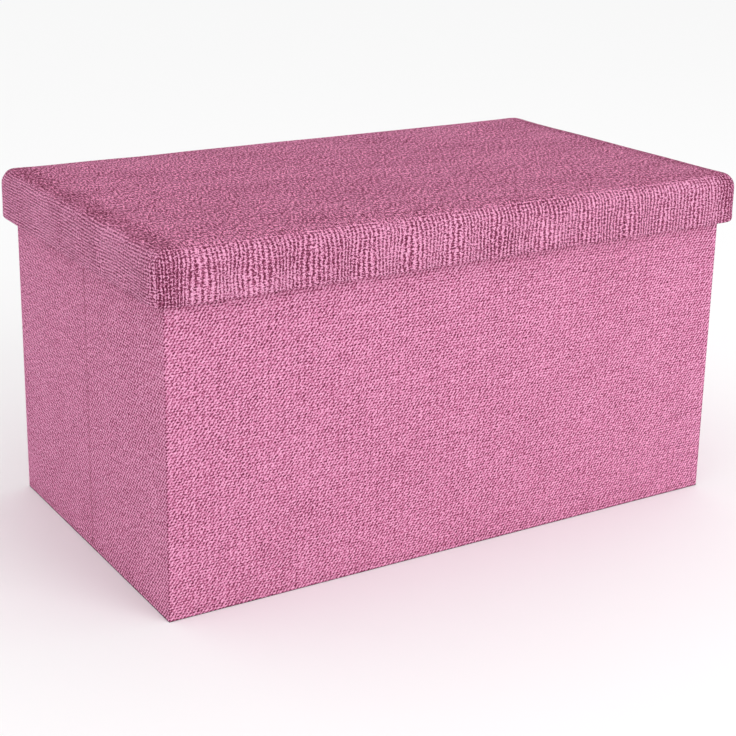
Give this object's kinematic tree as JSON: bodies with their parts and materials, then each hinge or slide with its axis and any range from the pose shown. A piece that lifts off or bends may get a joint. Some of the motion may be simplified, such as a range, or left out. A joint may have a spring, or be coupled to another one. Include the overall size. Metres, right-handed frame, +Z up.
{
  "type": "storage bench",
  "caption": "Folding storage bench with a padded lift-off lid over a linen-covered box; the short sides crease inwards and the box folds flat",
  "frame": {"origin": "centre of the footprint, on the floor", "axes": "+X along the long side of the bench, -Y towards the front, +Z up"},
  "size_m": [0.76, 0.44, 0.4],
  "materials": {
    "wall_linen": "coarse slubbed linen weave, mottled rose pink",
    "lid_linen": "coarse slubbed linen weave, mottled rose pink, stretched over foam",
    "lining_cloth": "matte non-woven cloth, charcoal",
    "fibreboard": "raw medium-density fibreboard",
    "base_fibreboard": "raw hardboard",
    "foam": "open-cell upholstery foam, off-white",
    "staple_steel": "galvanised staple wire",
    "seam_thread": "folded linen held by a row of pink stitches",
    "tab_ribbon": "woven ribbon, charcoal"
  },
  "bodies": {
    "front_wall": {"front_board": "fibreboard", "front_linen": "wall_linen", "front_lining": "lining_cloth", "hinge_seam_front_left": "seam_thread", "hinge_seam_front_right": "seam_thread", "bottom_cloth": "lining_cloth", "bottom_welt": "wall_linen"},
    "left_front_half": {"left_front_board": "fibreboard", "left_front_linen": "wall_linen", "left_front_lining": "lining_cloth", "crease_seam_left": "seam_thread"},
    "left_rear_half": {"left_rear_board": "fibreboard", "left_rear_linen": "wall_linen", "left_rear_lining": "lining_cloth", "hinge_seam_rear_left": "seam_thread"},
    "back_wall": {"back_board": "fibreboard", "back_linen": "wall_linen", "back_lining": "lining_cloth", "hinge_seam_rear_right": "seam_thread"},
    "right_front_half": {"right_front_board": "fibreboard", "right_front_linen": "wall_linen", "right_front_lining": "lining_cloth", "crease_seam_right": "seam_thread"},
    "right_rear_half": {"right_rear_board": "fibreboard", "right_rear_linen": "wall_linen", "right_rear_lining": "lining_cloth"},
    "base_panel": {"base_board": "base_fibreboard", "base_wrap": "lining_cloth", "base_pull_tab": "tab_ribbon"},
    "lid": {"lid_top_board": "fibreboard", "lid_rim_front": "fibreboard", "lid_rim_back": "fibreboard", "lid_rim_left": "fibreboard", "lid_rim_right": "fibreboard", "lid_top_foam": "foam", "lid_side_foam_front": "foam", "lid_side_foam_back": "foam", "lid_side_foam_left": "foam", "lid_side_foam_right": "foam", "lid_linen": "lid_linen", "lid_lining": "lining_cloth", "lid_staples": "staple_steel"}
  },
  "joints": [
    {"name": "fold", "type": "hinge", "parent": "front_wall", "child": "left_front_half", "pos_m": [-0.3537, -0.1934, 0.18], "axis": [0, 0, -1], "range_deg": [0, 90], "deforming": ["bottom_cloth", "bottom_welt"]},
    {"name": "left_crease_fold", "type": "hinge", "parent": "left_front_half", "child": "left_rear_half", "pos_m": [-0.36215, 0, 0.18], "axis": [0, 0, 1], "range_deg": [0, 180]},
    {"name": "left_rear_corner_fold", "type": "hinge", "parent": "left_rear_half", "child": "back_wall", "pos_m": [-0.3537, 0.1934, 0.18], "axis": [0, 0, -1], "range_deg": [0, 90]},
    {"name": "right_front_corner_fold", "type": "hinge", "parent": "front_wall", "child": "right_front_half", "pos_m": [0.3537, -0.1934, 0.18], "axis": [0, 0, 1], "range_deg": [0, 90]},
    {"name": "right_crease_fold", "type": "hinge", "parent": "right_front_half", "child": "right_rear_half", "pos_m": [0.36215, 0, 0.18], "axis": [0, 0, -1], "range_deg": [0, 180]},
    {"name": "lid_lift", "type": "slide", "parent": "front_wall", "child": "lid", "axis": [0, 0, 1], "range_m": [0, 0.5]},
    {"name": "base_lift", "type": "slide", "parent": "front_wall", "child": "base_panel", "axis": [0, 0, 1], "range_m": [0, 0.4]}
  ],
  "couplings": [
    {"joint": "left_crease_fold", "follows": "fold", "ratio": 2},
    {"joint": "left_rear_corner_fold", "follows": "fold", "ratio": 1},
    {"joint": "right_front_corner_fold", "follows": "fold", "ratio": 1},
    {"joint": "right_crease_fold", "follows": "fold", "ratio": 2},
    {"joint": "base_lift", "follows": "lid_lift", "ratio": 0.8}
  ]
}
